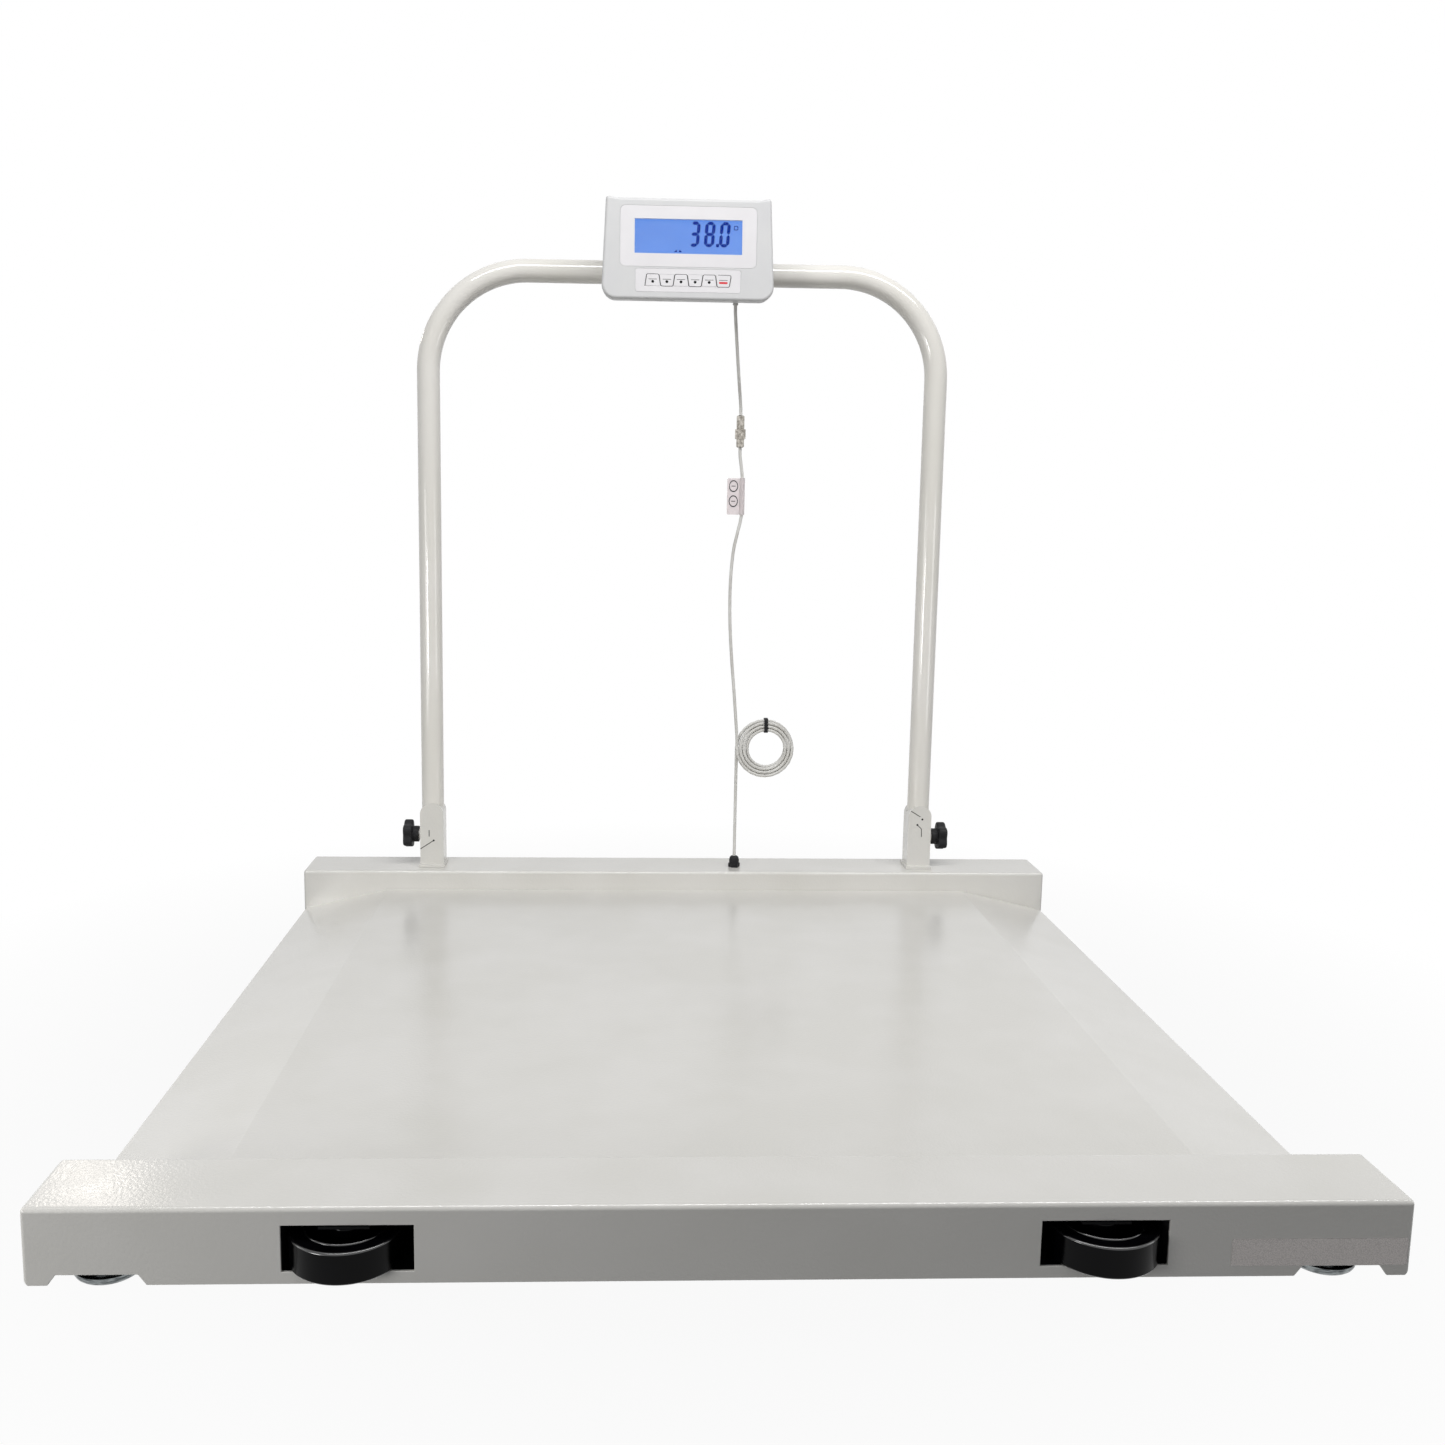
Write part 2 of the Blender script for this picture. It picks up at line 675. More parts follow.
def add_load_cell(name, side, foot_y):
    """A beam cell along the rail: a raised seat under the rail's top, and the foot at its free end."""
    free = CELL_END
    fixed = CELL_END - CELL_LENGTH
    top = CELL_BOTTOM + CELL_HEIGHT
    seat_top = RAIL_INNER_TOP - GAP
    outline = [
        (side * fixed, CELL_BOTTOM),
        (side * free, CELL_BOTTOM),
        (side * free, top),
        (side * (fixed + CELL_SEAT_LENGTH), top),
        (side * (fixed + CELL_SEAT_LENGTH), seat_top),
        (side * fixed, seat_top),
    ]
    mesh = prism(name, outline, "Y", -CELL_WIDTH / 2, CELL_WIDTH / 2)
    cell = add_object(name, mesh, "cell_alloy", (side * FOOT_X, foot_y, 0))
    reach = CELL_WIDTH / 2 + OVERSHOOT
    for step in (0, 1):
        middle = (-side * (CELL_HOLE_FROM_FOOT + step * CELL_HOLE_SPACING), CELL_BOTTOM + CELL_HEIGHT / 2)
        profile = [(CELL_HOLE_RADIUS, -reach), (CELL_HOLE_RADIUS, reach)]
        add_tool(cell, turned("cell_hole", profile, axis="Y", sides=SMALL_SIDES, centre=middle))
    bore = [(STUD_RADIUS + GAP, CELL_BOTTOM - OVERSHOOT), (STUD_RADIUS + GAP, top + OVERSHOOT)]
    add_tool(cell, turned("stud_bore", bore, sides=SMALL_SIDES))


def add_foot(corner, side, foot_y):
    """A domed pad on the floor and the threaded stud that stands in it and screws into the cell."""
    axis = add_empty(f"foot_axis_{corner}", (side * FOOT_X, foot_y, 0))
    socket = STUD_RADIUS + GAP
    pad = [
        (PAD_FLOOR_RADIUS, 0),
        (PAD_CURVE_RADIUS, PAD_CURVE_HEIGHT),
        (PAD_RADIUS, PAD_BULGE_HEIGHT),
        (PAD_RADIUS, PAD_RIM_HEIGHT),
        (PAD_CROWN_RADIUS, PAD_CROWN_HEIGHT),
        (PAD_NECK_RADIUS, PAD_HEIGHT),
        (socket, PAD_HEIGHT),
        (socket, PAD_SOCKET_FLOOR),
    ]
    add_object(f"foot_pad_{corner}", turned("foot_pad", pad), "zinc", parent=axis)
    hex_low = PAD_HEIGHT + GAP
    hex_high = hex_low + HEX_HEIGHT
    foot = PAD_SOCKET_FLOOR + GAP
    rod = [
        (STUD_RADIUS - STUD_TIP, foot),
        (STUD_RADIUS, foot + STUD_TIP),
        (STUD_RADIUS, STUD_TOP - STUD_TIP),
        (STUD_RADIUS - STUD_TIP, STUD_TOP),
    ]
    mesh = turned("foot_stud", rod, sides=SMALL_SIDES)
    stud = add_object(f"foot_stud_{corner}", mesh, "zinc", parent=axis)
    radius = HEX_ACROSS_CORNERS / 2
    collar = turned("hex", [(radius, hex_low), (radius, hex_high)], sides=6)
    add_tool(stud, collar, "UNION")


def add_feet():
    for end, foot_y in (("front", FRONT_Y + FOOT_INSET), ("rear", REAR_Y - FOOT_INSET)):
        for hand, side in (("left", -1), ("right", 1)):
            add_load_cell(f"load_cell_{end}_{hand}", side, foot_y)
            add_foot(f"{end}_{hand}", side, foot_y)


def wheel_profile():
    """Half of the wheel's section is listed, from bore to crown, and the other half mirrors it."""
    half = [
        (AXLE_RADIUS + GAP, WHEEL_HUB_WIDTH / 2),
        (WHEEL_HUB_RADIUS, WHEEL_HUB_WIDTH / 2),
        (WHEEL_HUB_RADIUS, WHEEL_WEB_WIDTH / 2),
        (WHEEL_WEB_OUTER, WHEEL_WEB_WIDTH / 2),
        (WHEEL_RIM_INNER, WHEEL_WIDTH / 2),
        (WHEEL_SHOULDER, WHEEL_WIDTH / 2),
        (WHEEL_RADIUS, WHEEL_CROWN_WIDTH / 2),
    ]
    return half + [(radius, -along) for radius, along in reversed(half)]


def add_wheels():
    """Each wheel turns on an upright bolt between the two legs of a fork behind the window."""
    wheel_y = FRONT_Y + WHEEL_RADIUS - WHEEL_REACH
    back = FRONT_Y + RAIL_WIDTH - RAIL_SHEET - GAP - wheel_y
    leg = WHEEL_HUB_WIDTH / 2 + FORK_CLEARANCE
    for hand, side in (("left", -1), ("right", 1)):
        centre = (side * WHEEL_X, wheel_y, WHEEL_MIDDLE)
        mesh = turned("wheel", wheel_profile(), sides=WHEEL_SIDES, closed=True)
        add_object(f"transport_wheel_{hand}", mesh, "black_wheel", centre)
        outline = [
            (-FORK_FRONT_REACH, -leg - YOKE_PLATE),
            (back, -leg - YOKE_PLATE),
            (back, leg + YOKE_PLATE),
            (-FORK_FRONT_REACH, leg + YOKE_PLATE),
            (-FORK_FRONT_REACH, leg),
            (back - YOKE_PLATE, leg),
            (back - YOKE_PLATE, -leg),
            (-FORK_FRONT_REACH, -leg),
        ]
        fork_mesh = prism("fork", outline, "X", -FORK_WIDTH / 2, FORK_WIDTH / 2)
        fork = add_object(f"wheel_fork_{hand}", fork_mesh, "zinc", centre)
        reach = leg + YOKE_PLATE + OVERSHOOT
        bore = [(AXLE_RADIUS + GAP, -reach), (AXLE_RADIUS + GAP, reach)]
        add_tool(fork, turned("axle_bore", bore))
        head = leg + YOKE_PLATE + GAP
        bolt = [
            (AXLE_HEAD_RADIUS, -head - AXLE_HEAD_HEIGHT),
            (AXLE_HEAD_RADIUS, -head),
            (AXLE_RADIUS, -head),
            (AXLE_RADIUS, head),
            (AXLE_HEAD_RADIUS, head),
            (AXLE_HEAD_RADIUS, head + AXLE_HEAD_HEIGHT),
        ]
        add_object(f"wheel_axle_{hand}", turned("wheel_axle", bolt), "zinc", centre)


def socket_outline():
    """The socket's front view: upright sides and an arched top edge."""
    base = RAIL_TOP + GAP
    shoulder = RAIL_TOP + SOCKET_SHOULDER
    radius = (SOCKET_HALF**2 + SOCKET_CROWN_RISE**2) / (2 * SOCKET_CROWN_RISE)
    half_angle = math.degrees(math.asin(SOCKET_HALF / radius))
    centre = (0, shoulder + SOCKET_CROWN_RISE - radius)
    arch = arc(centre, radius, 90 - half_angle, 90 + half_angle, SOCKET_ARCH_STEPS)
    return [(-SOCKET_HALF, base), (SOCKET_HALF, base), *arch]


def add_sockets():
    """The two sockets on the rear rail. Each has a flange, a bore for the post and a screw boss."""
    base = RAIL_TOP + GAP
    tall = RAIL_TOP + SOCKET_SHOULDER + SOCKET_CROWN_RISE + OVERSHOOT
    knob_z = RAIL_TOP + KNOB_HEIGHT
    for hand, side in (("left", -1), ("right", 1)):
        centre = (side * POST_X, POST_Y, 0)
        mesh = prism("socket", socket_outline(), "Y", -SOCKET_HALF, SOCKET_HALF)
        socket = add_object(f"post_socket_{hand}", mesh, "white_coat", centre)
        flange_low = (-FLANGE_WIDTH / 2, -FLANGE_DEPTH / 2, base)
        flange_high = (FLANGE_WIDTH / 2, FLANGE_DEPTH / 2, base + FLANGE_THICKNESS)
        add_tool(socket, box("flange", flange_low, flange_high), "UNION")
        wall = SOCKET_HALF - SOCKET_WALL / 2
        boss = [(BOSS_RADIUS, side * wall), (BOSS_RADIUS, side * (SOCKET_HALF + BOSS_HEIGHT))]
        add_tool(socket, turned("boss", boss, axis="X", centre=(0, knob_z)), "UNION")
        bore = [(SOCKET_BORE, base + FLANGE_THICKNESS), (SOCKET_BORE, tall)]
        add_tool(socket, turned("post_bore", bore))
        reach = side * (SOCKET_HALF + BOSS_HEIGHT + OVERSHOOT)
        hole = [(SCREW_RADIUS + GAP, 0), (SCREW_RADIUS + GAP, reach)]
        add_tool(socket, turned("screw_hole", hole, axis="X", sides=SMALL_SIDES, centre=(0, knob_z)))


def knob_lobes(radius, angle):
    """Only the disc's radii are wavy. Smaller radii belong to the hub and the bore."""
    if radius <= KNOB_HUB_RADIUS:
        return radius
    return radius - KNOB_LOBE_DEPTH * (1 - math.cos(KNOB_LOBES * angle)) / 2


def add_clamps():
    """A screw through each socket's outer wall, and the star knob on it."""
    knob_z = RAIL_TOP + KNOB_HEIGHT
    for hand, side in (("left", -1), ("right", 1)):
        centre = (side * POST_X, POST_Y, knob_z)
        axis = add_empty(f"clamp_axis_{hand}", centre)
        tip = TUBE_RADIUS + GAP
        hub = SOCKET_HALF + BOSS_HEIGHT + GAP
        deep = hub + SCREW_INTO_KNOB
        rod = [(SCREW_RADIUS, side * tip), (SCREW_RADIUS, side * deep)]
        screw_mesh = turned("clamp_screw", rod, axis="X", sides=SMALL_SIDES)
        add_object(f"clamp_screw_{hand}", screw_mesh, "zinc", parent=axis)
        disc = hub + KNOB_HUB_LENGTH
        end = disc + KNOB_DISC_LENGTH
        bore = SCREW_RADIUS + GAP
        profile = [
            (bore, deep + GAP),
            (bore, hub),
            (KNOB_HUB_RADIUS, hub),
            (KNOB_HUB_RADIUS, disc),
            (KNOB_RADIUS - KNOB_EDGE, disc),
            (KNOB_RADIUS, disc + KNOB_EDGE),
            (KNOB_RADIUS, end - KNOB_EDGE),
            (KNOB_RADIUS - KNOB_EDGE, end),
        ]
        profile = [(radius, side * along) for radius, along in profile]
        mesh = turned("clamp_knob", profile, axis="X", sides=KNOB_SIDES, lobed=knob_lobes)
        add_object(f"clamp_knob_{hand}", mesh, "black_nylon", parent=axis)


def handrail_path():
    """The tube's centre line: up, round a bend, across, round a bend and down."""
    side = POST_X
    foot = RAIL_TOP + FLANGE_THICKNESS + 2 * GAP
    turn = TUBE_AXIS_HEIGHT - TUBE_BEND_RADIUS
    inner = side - TUBE_BEND_RADIUS
    left = arc((-inner, turn), TUBE_BEND_RADIUS, 180, 90, TUBE_BEND_STEPS)
    right = arc((inner, turn), TUBE_BEND_RADIUS, 90, 0, TUBE_BEND_STEPS)
    return [Vector(point) for point in [(-side, foot), *left, *right, (side, foot)]]


def add_handrail():
    path = handrail_path()
    upward = Vector((0, 1))
    steps = [(after - before).normalized() for before, after in zip(path, path[1:])]
    outer, inner = [], []
    for point, before, after in zip(path, [upward, *steps], [*steps, -upward]):
        along = (before + after).normalized()
        across = Vector((along.y, -along.x))
        for radius, rings in ((TUBE_RADIUS, outer), (TUBE_RADIUS - TUBE_WALL, inner)):
            ring = []
            for step in range(ROUND_SIDES):
                angle = math.tau * step / ROUND_SIDES
                sideways = across * radius * math.cos(angle)
                ring.append((point.x + sideways.x, POST_Y + radius * math.sin(angle), point.y + sideways.y))
            rings.append(ring)
    mesh = loft("handrail", outer + inner[::-1], closed=True)
    add_object("handrail_tube", mesh, "tube_coat")


def saddle_half(facing, reach):
    """One half of the saddle, across the tube: a flat block with a half round groove."""
    split = facing * SADDLE_SPLIT / 2
    face = facing * reach
    half = SADDLE_HEIGHT / 2
    groove = TUBE_RADIUS + GAP
    open_angle = math.degrees(math.acos(SADDLE_SPLIT / 2 / groove))
    points = [(facing * a, b) for a, b in arc((0, 0), groove, -open_angle, open_angle, ROUND_SIDES // 2)]
    return [(face, -half), (split, -half), *points, (split, half), (face, half)]


def add_saddle():
    """Two halves of a block that grip the top tube, held by one bolt above it and one below."""
    centre = (INDICATOR_X, POST_Y, TUBE_AXIS_HEIGHT)
    front = TUBE_RADIUS + SADDLE_FRONT_WALL
    back = TUBE_RADIUS + SADDLE_BACK_WALL
    half = SADDLE_WIDTH / 2
    for name, facing, reach in (("saddle_front", -1, front), ("saddle_back", 1, back)):
        mesh = prism(name, saddle_half(facing, reach), "X", -half, half)
        piece = add_object(name, mesh, "black_nylon", centre)
        deep = front - 2 * BOLT_HEAD_HEIGHT
        for step in (-1, 1):
            span = [(BOLT_RADIUS + GAP, -deep), (BOLT_RADIUS + GAP, back + OVERSHOOT)]
            middle = (0, step * BOLT_SPREAD / 2)
            hole = turned("bolt_hole", span, axis="Y", sides=SMALL_SIDES, centre=middle)
            add_tool(piece, hole)
    for name, step in (("saddle_bolt_lower", -1), ("saddle_bolt_upper", 1)):
        bolt = [
            (BOLT_RADIUS, -front + 2 * BOLT_HEAD_HEIGHT + GAP),
            (BOLT_RADIUS, back + GAP),
            (BOLT_HEAD_RADIUS, back + GAP),
            (BOLT_HEAD_RADIUS, back + GAP + BOLT_HEAD_HEIGHT),
        ]
        mesh = turned(name, bolt, axis="Y", sides=SMALL_SIDES)
        add_object(name, mesh, "zinc", (INDICATOR_X, POST_Y, TUBE_AXIS_HEIGHT + step * BOLT_SPREAD / 2))


def add_yoke():
    """A bent plate on the saddle's face, with an arm each side that holds the indicator's back."""
    inner = BATTERY_WIDTH / 2 + GAP
    outer = inner + YOKE_PLATE
    web = PIVOT_TO_WEB
    plan = [
        (-outer, -ARM_NOSE),
        (-inner, -ARM_NOSE),
        (-inner, web),
        (inner, web),
        (inner, -ARM_NOSE),
        (outer, -ARM_NOSE),
        (outer, web + YOKE_PLATE),
        (-outer, web + YOKE_PLATE),
    ]
    mesh = prism("yoke", plan, "Z", -WEB_HEIGHT / 2, WEB_HEIGHT / 2)
    yoke = add_object("indicator_yoke", mesh, "zinc", PIVOT)
    reach = outer + OVERSHOOT
    for step in (-1, 1):
        cut = [
            (-ARM_NOSE - OVERSHOOT, step * ARM_HEIGHT / 2),
            (web - YOKE_PLATE, step * ARM_HEIGHT / 2),
            (web - YOKE_PLATE, step * (WEB_HEIGHT / 2 + OVERSHOOT)),
            (-ARM_NOSE - OVERSHOOT, step * (WEB_HEIGHT / 2 + OVERSHOOT)),
        ]
        add_tool(yoke, prism("arm_shape", cut, "X", -reach, reach))
    hole = [(TILT_SCREW_RADIUS + GAP, -reach), (TILT_SCREW_RADIUS + GAP, reach)]
    add_tool(yoke, turned("tilt_holes", hole, axis="X", sides=SMALL_SIDES))
    for hand, side in (("left", -1), ("right", 1)):
        head = outer + GAP
        profile = [
            (TILT_SCREW_RADIUS, inner - TILT_SCREW_DEPTH),
            (TILT_SCREW_RADIUS, head),
            (TILT_HEAD_RADIUS, head),
            (TILT_HEAD_RADIUS, head + TILT_HEAD_HEIGHT),
        ]
        profile = [(radius, side * along) for radius, along in profile]
        screw = turned("tilt_screw", profile, axis="X", sides=SMALL_SIDES)
        add_object(f"tilt_screw_{hand}", screw, "zinc", PIVOT)


def case_outline(inset):
    """The indicator's front view: wider at the foot, with a raised ear at each top corner."""
    top = CASE_MIDDLE + CASE_HEIGHT / 2 - inset
    low = CASE_MIDDLE - CASE_HEIGHT / 2 + inset
    wide = CASE_BOTTOM_WIDTH / 2 - inset
    narrow = CASE_TOP_WIDTH / 2 - inset
    ear = narrow - EAR_WIDTH
    dip = ear - EAR_SLOPE_WIDTH
    corners = [
        (-wide, low),
        (wide, low),
        (narrow, top),
        (ear, top),
        (dip, top - EAR_HEIGHT),
        (-dip, top - EAR_HEIGHT),
        (-ear, top),
        (-narrow, top),
    ]
    foot = CASE_BOTTOM_CORNER - inset
    tip = max(CASE_TOP_CORNER - inset, CASE_TOP_CORNER / 2)
    return rounded(corners, [foot, foot, tip, tip / 2, 0, 0, tip / 2, tip])


def case_loft(name, sections):
    """A skin through the case's outline at several depths, each with its own inset."""
    rings = [[place("Y", along, a, b) for a, b in case_outline(inset)] for inset, along in sections]
    return loft(name, rings)


def cut_face(front):
    """Pockets in the front shell for the film, the glass and the keys, and the display's window."""
    face = -FACE_FORWARD
    film = face + OVERLAY_THICKNESS + GAP
    glass = film + GLASS_THICKNESS + GAP
    clear = face - OVERSHOOT
    pane = (GLASS_WIDTH + 2 * GLASS_BORDER, GLASS_HEIGHT + 2 * GLASS_BORDER)
    cuts = (
        (OVERLAY_WIDTH, OVERLAY_HEIGHT, OVERLAY_MIDDLE, OVERLAY_CORNER, film),
        (STRIP_WIDTH, STRIP_HEIGHT, STRIP_MIDDLE, STRIP_CORNER, film),
        (*pane, GLASS_MIDDLE, 0, glass),
        (GLASS_WIDTH, GLASS_HEIGHT, GLASS_MIDDLE, 0, face + CASE_FACE_WALL + OVERSHOOT),
    )
    for width, height, middle, corner, depth in cuts:
        radius = corner + GAP if corner else 0
        outline = rectangle(width + 2 * GAP, height + 2 * GAP, (0, middle), radius)
        add_tool(front, prism("face_cut", outline, "Y", clear, depth))
    row = KEY_COUNT * KEY_PITCH + 2 * KEY_POCKET_MARGIN
    pocket = rectangle(row, KEY_HEIGHT + 2 * KEY_POCKET_MARGIN, (0, KEY_MIDDLE))
    add_tool(front, prism("key_pocket", pocket, "Y", clear, face + KEY_POCKET_DEPTH))


def add_case(tilt):
    """The indicator's two hollow shells, with the battery box on the rear one."""
    face, parting = -FACE_FORWARD, -PARTING_FORWARD
    skin = [
        (CASE_EDGE, face),
        (CASE_EDGE / 3, face + CASE_EDGE / 3),
        (0, face + CASE_EDGE),
        (CASE_PARTING_INSET, parting),
    ]
    front = add_object("indicator_front", case_loft("case_front", skin), "grey_case", parent=tilt)
    inside = case_outline(CASE_PARTING_INSET + CASE_WALL)
    add_tool(front, prism("front_inside", inside, "Y", face + CASE_FACE_WALL, parting + OVERSHOOT))
    cut_face(front)

    back_face = -BACK_FORWARD
    start = parting + GAP
    skin = [(CASE_PARTING_INSET, start), (CASE_BACK_INSET, back_face)]
    back = add_object("indicator_back", case_loft("case_back", skin), "grey_case", parent=tilt)
    half_width, half_height = BATTERY_WIDTH / 2, BATTERY_HEIGHT / 2
    low = (-half_width, back_face - CASE_WALL / 2, -half_height)
    add_tool(back, box("battery", low, (half_width, BATTERY_BACKWARD, half_height)), "UNION")
    inside = case_outline(CASE_BACK_INSET + CASE_WALL)
    add_tool(back, prism("back_inside", inside, "Y", start - OVERSHOOT, back_face - CASE_WALL))
    low = (-BATTERY_CAVITY_WIDTH / 2, start - OVERSHOOT / 2, CASE_WALL - half_height)
    high = (BATTERY_CAVITY_WIDTH / 2, BATTERY_BACKWARD - CASE_WALL, half_height - CASE_WALL)
    add_tool(back, box("battery_inside", low, high))
    bore_radius = TILT_SCREW_RADIUS + GAP
    for side in (-1, 1):
        deep = side * (half_width - TILT_SCREW_DEPTH - GAP)
        bore = [(bore_radius, deep), (bore_radius, side * (half_width + OVERSHOOT))]
        add_tool(back, turned("tilt_bore", bore, axis="X", sides=SMALL_SIDES))


def grommet_seat():
    """The height, below the tilt axis, of the case's underside where the grommet sits."""
    depth_share = (PARTING_FORWARD - GAP - GROMMET_FORWARD) / (PARTING_FORWARD - GAP - BACK_FORWARD)
    inset = CASE_PARTING_INSET + (CASE_BACK_INSET - CASE_PARTING_INSET) * depth_share
    return CASE_MIDDLE - CASE_HEIGHT / 2 + inset - GROMMET_SEAT_DEPTH


def add_grommet(tilt):
    """The cable's grommet in the rear shell's underside, with its flange just below the shell."""
    back = bpy.data.objects["indicator_back"]
    centre = (GROMMET_X, -GROMMET_FORWARD)
    seat = grommet_seat()
    inner = CASE_MIDDLE - CASE_HEIGHT / 2 + CASE_BACK_INSET + CASE_WALL
    neck = [(GROMMET_NECK_RADIUS + GAP, seat - OVERSHOOT), (GROMMET_NECK_RADIUS + GAP, inner + OVERSHOOT)]
    add_tool(back, turned("grommet_hole", neck, sides=SMALL_SIDES, centre=centre))
    profile = [
        (GROMMET_NECK_RADIUS, inner),
        (GROMMET_NECK_RADIUS, seat),
        (GROMMET_RADIUS, seat),
        (GROMMET_RADIUS, seat - GROMMET_LENGTH),
    ]
    mesh = turned("grommet", profile, sides=SMALL_SIDES, centre=centre)
    add_object("indicator_grommet", mesh, "black_nylon", parent=tilt)


def add_display(tilt):
    """The printed film with its window, the clear glass behind it and the display module."""
    face = -FACE_FORWARD
    film_back = face + OVERLAY_THICKNESS
    outline = rectangle(OVERLAY_WIDTH, OVERLAY_HEIGHT, (0, OVERLAY_MIDDLE), OVERLAY_CORNER)
    mesh = prism("film", outline, "Y", face, film_back)
    film = add_object("overlay_film", mesh, "white_film", parent=tilt)
    window = rectangle(GLASS_WIDTH, GLASS_HEIGHT, (0, GLASS_MIDDLE))
    add_tool(film, prism("film_window", window, "Y", face - OVERSHOOT, film_back + OVERSHOOT))
    glass = film_back + GAP
    width = GLASS_WIDTH + 2 * GLASS_BORDER
    height = GLASS_HEIGHT + 2 * GLASS_BORDER
    pane = rectangle(width, height, (0, GLASS_MIDDLE))
    mesh = prism("glass", pane, "Y", glass, glass + GLASS_THICKNESS)
    add_object("display_glass", mesh, "clear_glass", parent=tilt)
    module = face + CASE_FACE_WALL + GAP
    mesh = prism("module", pane, "Y", module, module + DISPLAY_THICKNESS)
    add_object("display_module", mesh, "blue_display", parent=tilt)


def key_outline(index, inset):
    """A key is a tab with slanted sides, narrow at the top on odd places and at the foot on even."""
    middle = (index - (KEY_COUNT - 1) / 2) * KEY_PITCH
    slant = KEY_SLANT / 2 if index % 2 == 0 else -KEY_SLANT / 2
    half = KEY_PITCH / 2 - inset
    low = KEY_MIDDLE - KEY_HEIGHT / 2 + inset
    high = KEY_MIDDLE + KEY_HEIGHT / 2 - inset
    corners = [
        (middle - half - slant, low),
        (middle + half + slant, low),
        (middle + half - slant, high),
        (middle - half + slant, high),
    ]
    return rounded(corners, [KEY_CORNER - inset] * 4, steps=3)


def add_keys(tilt):
    """The key film with six windows, and the keys that travel in them."""
    face = -FACE_FORWARD
    outline = rectangle(STRIP_WIDTH, STRIP_HEIGHT, (0, STRIP_MIDDLE), STRIP_CORNER)
    film_back = face + OVERLAY_THICKNESS
    mesh = prism("key_film", outline, "Y", face, film_back)
    strip = add_object("key_film", mesh, "white_film", parent=tilt)
    for index in range(KEY_COUNT):
        hole = key_outline(index, KEY_SEAM / 2)
        add_tool(strip, prism("key_hole", hole, "Y", face - OVERSHOOT, film_back + OVERSHOOT))
        front = face - KEY_PROUD
        shape = key_outline(index, KEY_SEAM / 2 + GAP)
        mesh = prism("key", shape, "Y", front, front + KEY_THICKNESS)
        add_object(f"key_{index + 1}", mesh, "white_film", parent=tilt)


def coil_route():
    """The coil's turns: in along one layer, a climb as the spiral turns back, and out along the next."""
    count = COIL_TURNS * COIL_POINTS_PER_TURN
    points = []
    for index in range(count + 1):
        turn = index / COIL_POINTS_PER_TURN
        radius = COIL_RADIUS - COIL_PITCH * min(turn, COIL_TURNS - turn)
        climb = (turn - COIL_TURNS / 2) / COIL_CLIMB_TURNS + 1 / 2
        climb = max(0, min(1, climb))
        layer = climb * climb * (3 - 2 * climb)
        angle = math.pi + math.tau * turn
        x = COIL_X + radius * math.cos(angle)
        z = COIL_HEIGHT + radius * math.sin(angle)
        points.append(Vector((x, CABLE_Y - COIL_PITCH * (1 - layer), z)))
    lead = Vector((0, 0, CABLE_DIAMETER))
    return [points[0] + lead, *points, points[-1] - lead]


def add_tie():
    """A band round the coil's bundle, at the top of its turns."""
    top_share = 1 / 4
    reach = CABLE_DIAMETER / 2 + TIE_CLEARANCE
    outer = COIL_RADIUS - COIL_PITCH * top_share + reach
    inner = COIL_RADIUS - COIL_PITCH * (COIL_TURNS / 2 - top_share) - reach
    depth = COIL_PITCH + CABLE_DIAMETER + 2 * TIE_CLEARANCE
    middle = (-COIL_PITCH / 2, (outer + inner) / 2)
    hole = rectangle(depth, outer - inner, middle)
    band = rectangle(depth + 2 * TIE_WALL, outer - inner + 2 * TIE_WALL, middle)
    half = TIE_LENGTH / 2
    sections = ((-half, band), (half, band), (half, hole), (-half, hole))
    rings = [[place("X", along, a, b) for a, b in shape] for along, shape in sections]
    add_object("coil_tie", loft("tie", rings, closed=True), "black_tie", (COIL_X, CABLE_Y, COIL_HEIGHT))


def tilted(x, forward, up):
    """A point of the indicator, given from its tilt axis, in the object's frame."""
    y, z = -forward, up
    return Vector((
        PIVOT[0] + x,
        PIVOT[1] + y * math.cos(LEAN) - z * math.sin(LEAN),
        PIVOT[2] + y * math.sin(LEAN) + z * math.cos(LEAN),
    ))


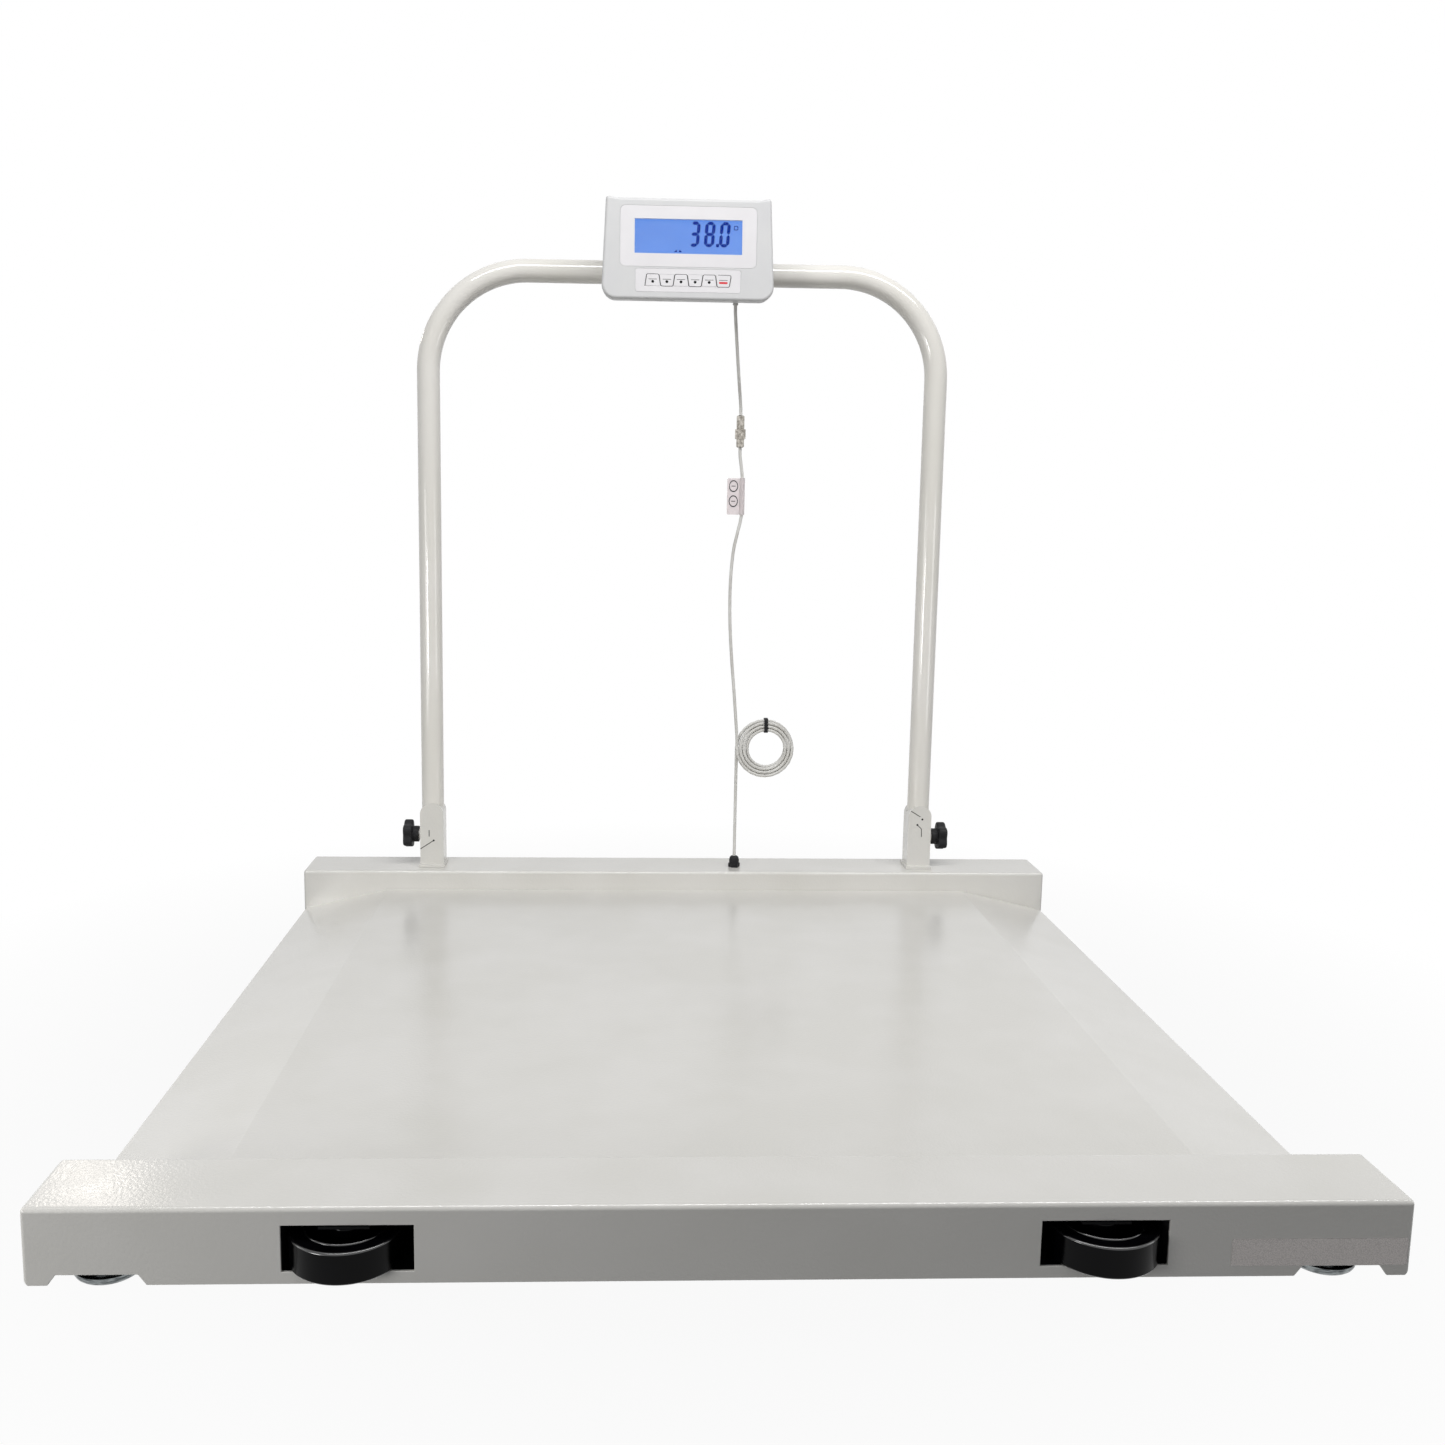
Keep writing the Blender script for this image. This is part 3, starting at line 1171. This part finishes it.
def add_cables():
    """The cable from the indicator down through its connector and coil to the rear rail."""
    spacing = CABLE_DIAMETER * CABLE_POINT_SPACING_DIAMETERS
    upper_y = CABLE_Y - COIL_PITCH
    mouth = grommet_seat() - GROMMET_LENGTH - GAP
    start = tilted(GROMMET_X, GROMMET_FORWARD, mouth)
    straight = tilted(GROMMET_X, GROMMET_FORWARD, mouth - 2 * CABLE_DIAMETER)
    top = Vector((CONNECTOR_X, upper_y, CONNECTOR_TOP + GAP))
    lead = Vector((0, 0, 2 * CABLE_DIAMETER))
    middle = (straight + top) / 2
    upper = smooth_route([start, straight, middle, top + lead, top], spacing)

    bottom = Vector((CONNECTOR_X, upper_y, CONNECTOR_TOP - CONNECTOR_LENGTH - GAP))
    coil = coil_route()
    sleeve_top = Vector((TAG_X, upper_y, TAG_TOP))
    sleeve_foot = Vector((TAG_X, upper_y, TAG_TOP - TAG_LENGTH))
    sleeve_middle = (sleeve_top + sleeve_foot) / 2
    hang = [Vector((x, upper_y, z)) for x, z in CABLE_HANG]
    end = coil[0] + Vector((0, 0, GAP))
    stretch = [bottom, bottom - lead, sleeve_top, sleeve_middle, sleeve_foot, *hang, end + lead, end]
    hanging = smooth_route(stretch, spacing)

    gland_top = Vector((COIL_X - COIL_RADIUS, CABLE_Y, RAIL_TOP + GAP + GLAND_HEIGHT + GAP))
    tail = smooth_route([coil[-1] - Vector((0, 0, GAP)), gland_top], spacing)

    add_cable("cable_upper", upper, CABLE_BEVEL_STEPS)
    add_cable("cable_hanging", hanging, CABLE_BEVEL_STEPS)
    add_cable("cable_coil", coil, COIL_BEVEL_STEPS)
    add_cable("cable_tail", tail, CABLE_BEVEL_STEPS)
    add_tie()
    total = CONNECTOR_LENGTH
    for name, route in (("upper", upper), ("hanging", hanging), ("coil", coil), ("tail", tail)):
        total += route_length(route)
        gap = least_gap(route, CABLE_DIAMETER)
        print(f"cable {name}: {len(route)} points, {route_length(route):.4f} m, least gap {gap:.5f} m")
    print(f"cable with its connector: {total:.3f} m")


def add_cable_pieces():
    """The gland on the rear rail, the connector in the cable and the clear tag below it."""
    seat = RAIL_TOP + GAP
    gland = [
        (GLAND_NECK_RADIUS, seat - GLAND_NECK_LENGTH),
        (GLAND_NECK_RADIUS, seat),
        (GLAND_HEX_RADIUS, seat),
        (GLAND_HEX_RADIUS, seat + GLAND_HEX_HEIGHT),
        (GLAND_DOME_RADIUS, seat + GLAND_HEX_HEIGHT),
        (GLAND_DOME_RADIUS, seat + (GLAND_HEX_HEIGHT + GLAND_HEIGHT) / 2),
        (GLAND_MOUTH_RADIUS, seat + GLAND_HEIGHT),
    ]
    centre = (COIL_X - COIL_RADIUS, CABLE_Y, 0)
    add_object("rail_gland", turned("rail_gland", gland, sides=SMALL_SIDES), "black_nylon", centre)

    ring_top = CONNECTOR_TOP - CONNECTOR_RING_TOP
    ring_low = ring_top - CONNECTOR_RING_LENGTH
    low = CONNECTOR_TOP - CONNECTOR_LENGTH
    cut = CONNECTOR_CHAMFER
    shell = [
        (CONNECTOR_END_RADIUS, CONNECTOR_TOP),
        (CONNECTOR_RADIUS, CONNECTOR_TOP - cut),
        (CONNECTOR_RADIUS, ring_top),
        (CONNECTOR_RING_RADIUS, ring_top - cut),
        (CONNECTOR_RING_RADIUS, ring_low + cut),
        (CONNECTOR_RADIUS, ring_low),
        (CONNECTOR_RADIUS, low + cut),
        (CONNECTOR_END_RADIUS, low),
    ]
    upper_y = CABLE_Y - COIL_PITCH
    connector = turned("connector", shell)
    add_object("cable_connector", connector, "nickel", (CONNECTOR_X, upper_y, 0))

    foot = TAG_TOP - TAG_LENGTH
    sleeve = [
        (TAG_SLEEVE_BORE, TAG_TOP),
        (TAG_SLEEVE_RADIUS, TAG_TOP),
        (TAG_SLEEVE_RADIUS, foot),
        (TAG_SLEEVE_BORE, foot),
    ]
    mesh = turned("sleeve", sleeve, sides=SMALL_SIDES, closed=True)
    tag = add_object("cable_tag", mesh, "clear_film", (TAG_X, upper_y, 0))
    near = (TAG_SLEEVE_BORE + TAG_SLEEVE_RADIUS) / 2
    low = (-near - TAG_WIDTH, -TAG_THICKNESS / 2, foot + GAP)
    high = (-near, TAG_THICKNESS / 2, TAG_TOP - GAP)
    add_tool(tag, box("flag", low, high), "UNION")


clear_scene()
add_rails()
add_deck()
add_cross_tubes()
add_junction_box()
add_feet()
add_wheels()
add_sockets()
add_clamps()
add_handrail()
add_saddle()
add_yoke()
tilt_axis = add_empty("tilt_axis", PIVOT, (LEAN, 0, 0))
add_case(tilt_axis)
add_grommet(tilt_axis)
add_display(tilt_axis)
add_keys(tilt_axis)
add_cables()
add_cable_pieces()
